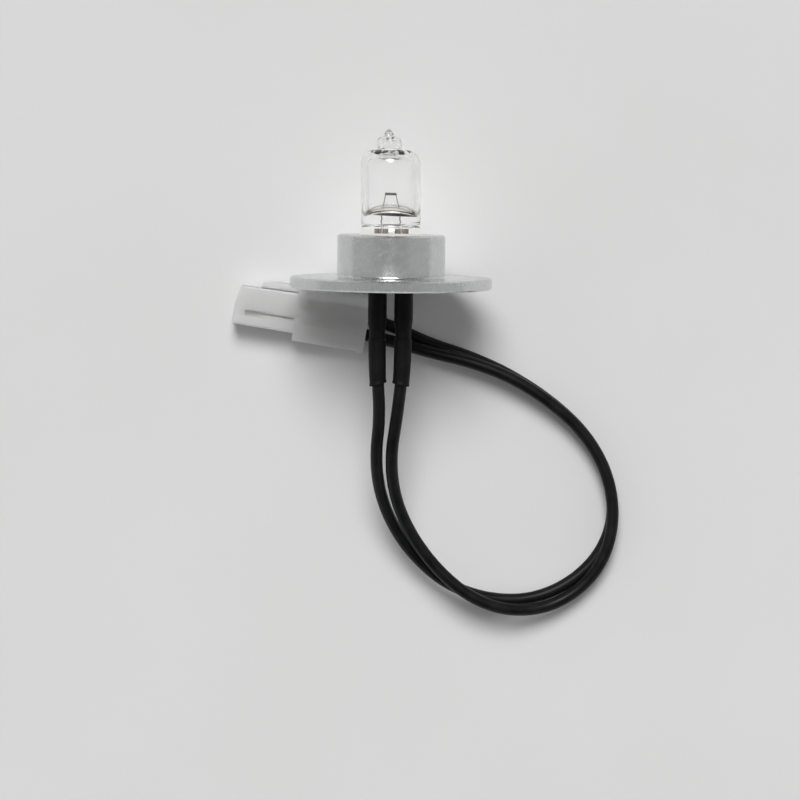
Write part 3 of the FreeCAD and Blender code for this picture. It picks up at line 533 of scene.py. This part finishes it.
def metal(name, dull, bright, roughness, scale):
    """Drawn or rolled metal whose skin goes in patches from dull to bright."""
    shader = Shader(name, Metallic=1.0)
    patches = shader.noise(scale, 5, 0.6)
    shader.set(shader.main, {"Base Color": shader.ramp(patches, (*dull, 1), (*bright, 1), 0.3, 0.7)})
    shader.set(shader.main, {"Roughness": shader.smooth(patches, 0.3, 0.7, roughness + 0.12, roughness)})
    shader.bump(shader.noise(scale * 4, 3), 0.00001, 0.4)
    return shader


def foil():
    """Molybdenum foil pressed in the quartz, with fine stripes along it from the pressing."""
    shader = Shader("seal_foil", Metallic=1.0)
    stripes = shader.noise(7500, 3, 0.6, vector=shader.stretched(1, 0.05, 0.05))
    heat = shader.noise(900, 3)
    grey = shader.ramp(stripes, (0.08, 0.075, 0.07, 1), (0.3, 0.28, 0.26, 1), 0.35, 0.65)
    tinted = shader.mixed(shader.smooth(heat, 0.5, 0.75, 0, 0.3), grey, (0.24, 0.14, 0.08, 1))
    roughness = shader.smooth(stripes, 0.35, 0.65, 0.5, 0.35)
    shader.set(shader.main, {"Base Color": tinted, "Roughness": roughness})
    shader.bump(stripes, 0.00003, 0.6)
    return shader


def cement():
    """White ceramic cement: chalky and grainy, slightly cream."""
    shader = Shader("ceramic_cement", Roughness=0.9)
    grains = shader.noise(2600, 6, 0.7)
    cream = shader.ramp(grains, (0.74, 0.7, 0.62, 1), (0.9, 0.88, 0.83, 1), 0.3, 0.7)
    shader.set(shader.main, {"Base Color": cream})
    shader.bump(grains, 0.00008, 0.7)
    return shader


def clear_glass():
    """Blown quartz: clear, faintly wavy, and pressed uneven in the pinch. Its shadow stays light."""
    shader = Shader("quartz", Roughness=0.0, IOR=1.46)
    shader.set(shader.main, {"Base Color": (1, 1, 1, 1), "Transmission Weight": 1.0})
    along = shader.add("SeparateXYZ", {0: shader.places()}).outputs["Y"]
    pressed = shader.smooth(along, FLANGE_FACE + 10 * MM, FLANGE_FACE + 12.5 * MM, 1.0, 0.12)
    drawn = shader.smooth(along, FLANGE_FACE + 21.5 * MM, FLANGE_FACE + 24 * MM, 0.0, 0.7)
    uneven = shader.math("MAXIMUM", pressed, drawn)
    waves = shader.math("MULTIPLY", shader.noise(420, 2, vector=shader.stretched(1, 0.6, 1)), uneven)
    shader.bump(waves, 0.00012, 0.35)
    clear = shader.add("BsdfTransparent", {"Color": (0.93, 0.93, 0.93, 1)})
    in_shadow = shader.add("LightPath").outputs["Is Shadow Ray"]
    mixed = shader.add("MixShader", {0: in_shadow, 1: shader.main.outputs[0], 2: clear.outputs[0]})
    shader.set(shader.tree.nodes["Material Output"], {"Surface": mixed.outputs[0]})
    return shader


def nylon():
    """Natural nylon: milky, clearer towards the back where its walls are thin, with a fine moulded grain."""
    shader = Shader("natural_nylon", IOR=1.5, **{"Specular IOR Level": 0.35})
    cloud = shader.noise(260, 3)
    along = shader.dot(shader.places(), PLUG_WAY)
    clearness = shader.smooth(along, PLUG_MIDDLE - 6 * MM, PLUG_MIDDLE + 6 * MM, 0.42, 0.3)
    milk = shader.ramp(cloud, (0.97, 0.98, 0.985, 1), (1, 1, 1, 1), 0.3, 0.7)
    shader.set(shader.main, {"Base Color": milk, "Transmission Weight": clearness})
    shader.set(shader.main, {"Roughness": shader.smooth(cloud, 0.3, 0.7, 0.34, 0.42)})
    shader.set(shader.main, {"Subsurface Weight": 1.0, "Subsurface Scale": 3 * MM})
    shader.set(shader.main, {"Subsurface Radius": (1, 1, 1)})
    shader.bump(shader.noise(5000, 4, 0.6), 0.00002, 0.4)
    return shader


def table():
    """Matt white paper, with a fine tooth and faint cloudiness."""
    shader = Shader("table_paper", Roughness=0.9)
    cloud = shader.noise(14, 3)
    paper = shader.ramp(cloud, (0.79, 0.79, 0.785, 1), (0.815, 0.815, 0.815, 1), 0.3, 0.7)
    shader.set(shader.main, {"Base Color": paper})
    shader.bump(shader.noise(2200, 4, 0.6), 0.00003, 0.3)
    return shader


def set_camera():
    camera = bpy.data.cameras.new("camera")
    camera.lens = CAMERA_LENS
    camera.clip_start = 0.01
    camera.clip_end = 50
    ahead = (CAMERA_AIM - CAMERA_PLACE).normalized()
    right = ahead.cross(Vector((0, 1, 0))).normalized()
    up = right.cross(ahead)
    turn = Matrix((right, up, -ahead)).transposed() @ Matrix.Rotation(CAMERA_ROLL, 3, "Z")
    piece = bpy.data.objects.new("camera", camera)
    piece.matrix_world = Matrix.Translation(CAMERA_PLACE) @ turn.to_4x4()
    bpy.context.scene.collection.objects.link(piece)
    bpy.context.scene.camera = piece


def set_floor():
    half = 3.0
    corners = [(-half, -half, 0), (half, -half, 0), (half, half, 0), (-half, half, 0)]
    floor = build_mesh("floor", corners, [(0, 1, 2, 3)])
    floor.data.materials.append(table().material)


class Surroundings(Shader):
    """The world's node tree, with its background as the main shader."""

    def __init__(self, name):
        self.world = bpy.data.worlds.new(name)
        self.world.use_nodes = True
        self.tree = self.world.node_tree
        self.main = self.tree.nodes["Background"]


def set_light():
    studio = Surroundings("studio")
    bpy.context.scene.world = studio.world
    way = studio.add("TexCoord").outputs["Generated"]
    key_reach = math.cos(KEY_HEIGHT)
    key_way = Vector((key_reach * math.sin(KEY_TURN), key_reach * math.cos(KEY_TURN), math.sin(KEY_HEIGHT)))
    key = studio.smooth(studio.dot(way, key_way), math.cos(KEY_EDGE), math.cos(KEY_CORE), 0.0, KEY_LIGHT)
    turned = studio.add("SeparateXYZ", {0: way}).outputs
    sides = studio.smooth(studio.math("ABSOLUTE", turned["X"]), 0.2, 0.9, 0.0, SIDE_LIGHT)
    room = studio.smooth(turned["Y"], -0.8, 0.1, ROOM_FRONT, ROOM_LIGHT)
    band = studio.smooth(studio.math("ABSOLUTE", turned["Y"]), 0.1, 0.4, ROOF_LIGHT, 0.0)
    in_front = studio.smooth(turned["Y"], -0.7, -0.2, FRONT_GLOW, 0.0)
    glow = studio.math("MULTIPLY", in_front, studio.smooth(turned["Z"], 0.1, 0.45, 1.0, 0.0))
    light = key
    for part in (sides, room, band, glow):
        light = studio.math("ADD", light, part)
    studio.set(studio.main, {"Color": (1, 1, 1, 1), "Strength": light})


set_camera()
set_floor()
set_light()
bpy.context.scene.view_settings.view_transform = "Standard"

lead_look = silicone()
left_lead = make_lead("lead_left", LEFT_ROUTE, lead_look)
right_lead = make_lead("lead_right", RIGHT_ROUTE, lead_look)

paint("lamp_holder", aluminium())
make_glass(clear_glass())
make_filament(metal("tungsten", (0.1, 0.1, 0.1), (0.2, 0.2, 0.2), 0.4, 9000))
sleeve_look = shrink_sleeve()
foil_look = foil()
pin_look = metal("molybdenum", (0.36, 0.35, 0.34), (0.5, 0.49, 0.48), 0.3, 3000)
brass_look = metal("brass", (0.5, 0.33, 0.12), (0.76, 0.56, 0.27), 0.28, 1300)
make_sleeves("left", LEFT_ROUTE, 0.35 * MM, sleeve_look)
make_sleeves("right", RIGHT_ROUTE, -0.2 * MM, sleeve_look)
for side in ("left", "right"):
    paint(f"seal_foil_{side}", foil_look)
    paint(f"contact_pin_{side}", pin_look)
    paint(f"crimp_ferrule_{side}", brass_look)
    paint(f"plug_terminal_{side}", brass_look)
paint("ceramic_cement", cement())
paint("plug_housing", nylon())
